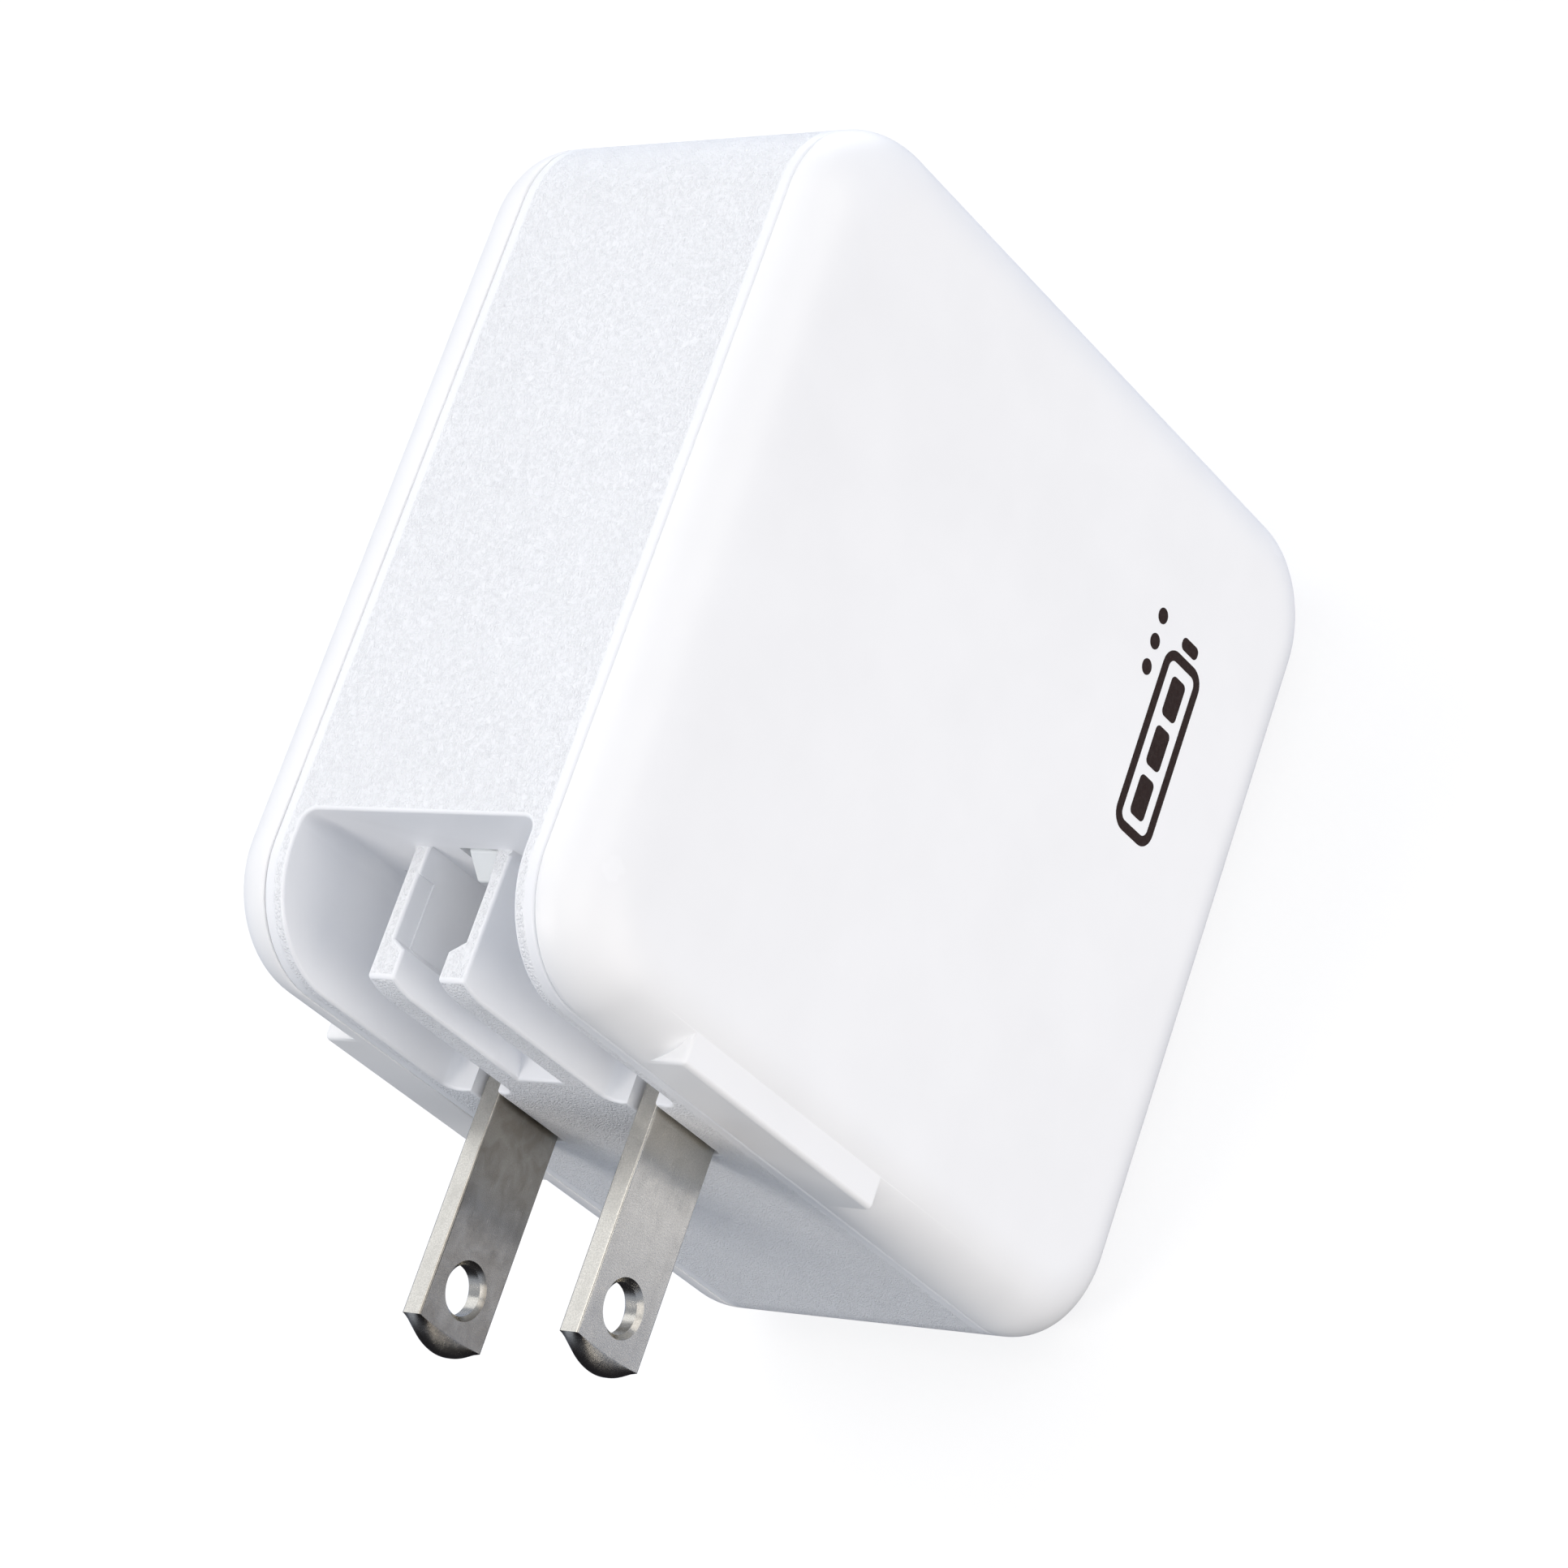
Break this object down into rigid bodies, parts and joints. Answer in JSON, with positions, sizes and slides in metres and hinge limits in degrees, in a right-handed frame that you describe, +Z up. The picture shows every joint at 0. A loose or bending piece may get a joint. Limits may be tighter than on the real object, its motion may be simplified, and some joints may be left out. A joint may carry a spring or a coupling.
{
  "type": "usb wall charger",
  "caption": "Square white mains charger with fold-out flat blades, a finger pocket and slots for them, adapter rails on both covers, and USB sockets on the far side.",
  "frame": {"origin": "middle of the footprint of the whole part, blades folded out, on the surface that the body's lower narrow side stands on", "axes": "+X out of the front cover, -Y out of the plug side along the folded-out blades, +Y out of the socket side, +Z up from the lower to the upper narrow side"},
  "size_m": [0.03, 0.076, 0.06],
  "materials": {
    "shell_grained": "moulded leather-like grain, white",
    "shell_satin": "satin white, very fine spark texture",
    "blade_nickel": "nickel-plated brass, satin with fine rolling marks",
    "steel": "pressed and plated steel",
    "bronze": "spring bronze",
    "inner_plastic": "moulded off-white",
    "black_plastic": "moulded black",
    "board": "green solder mask",
    "ferrite": "sintered dark grey",
    "tape": "yellow polyester tape",
    "copper_wire": "enamelled copper",
    "capacitor_sleeve": "shrink sleeve",
    "capacitor_yellow": "moulded case",
    "disc_blue": "dipped coating",
    "aluminium": "rolled sheet",
    "thermal_pad": "soft grey silicone",
    "insulating_sheet": "amber film",
    "lead_red": "PVC insulation",
    "print_ink": null
  },
  "bodies": {
    "charger": {"middle_frame": "shell_grained", "front_cover": "shell_satin", "back_cover": "shell_satin", "rotor_cradle": "inner_plastic", "cradle_screw_1": "steel", "cradle_screw_2": "steel", "detent_spring": "steel", "contact_spring_left": "bronze", "contact_spring_right": "bronze", "supply_lead_left": "black_plastic", "supply_lead_right": "lead_red", "latch_catch": "inner_plastic", "main_board": "board", "port_board": "board", "usb_c_1_shell": "steel", "usb_c_1_tongue": "black_plastic", "usb_c_2_shell": "steel", "usb_c_2_tongue": "black_plastic", "usb_a_shell": "steel", "usb_a_tongue": "black_plastic", "bulk_capacitor_1": "capacitor_sleeve", "bulk_capacitor_2": "capacitor_sleeve", "output_capacitor_1": "capacitor_sleeve", "output_capacitor_2": "capacitor_sleeve", "transformer_core": "ferrite", "transformer_bobbin": "black_plastic", "transformer_winding": "tape", "choke_core": "ferrite", "choke_winding_1": "copper_wire", "choke_winding_2": "copper_wire", "film_capacitor": "capacitor_yellow", "bridge_rectifier": "black_plastic", "gan_controller": "black_plastic", "rectifier_controller": "black_plastic", "disc_capacitor": "disc_blue", "fuse": "capacitor_sleeve", "heat_spreader_front": "aluminium", "thermal_pad": "thermal_pad", "heat_spreader_back": "aluminium", "insulating_sheet": "insulating_sheet"},
    "plug": {"blade_left": "blade_nickel", "blade_right": "blade_nickel", "blade_rotor": "inner_plastic"}
  },
  "joints": [
    {"name": "blade_fold", "type": "hinge", "parent": "charger", "child": "plug", "pos_m": [0, -0.01845, 0.0362], "axis": [-1, 0, 0], "range_deg": [0, 90]}
  ]
}
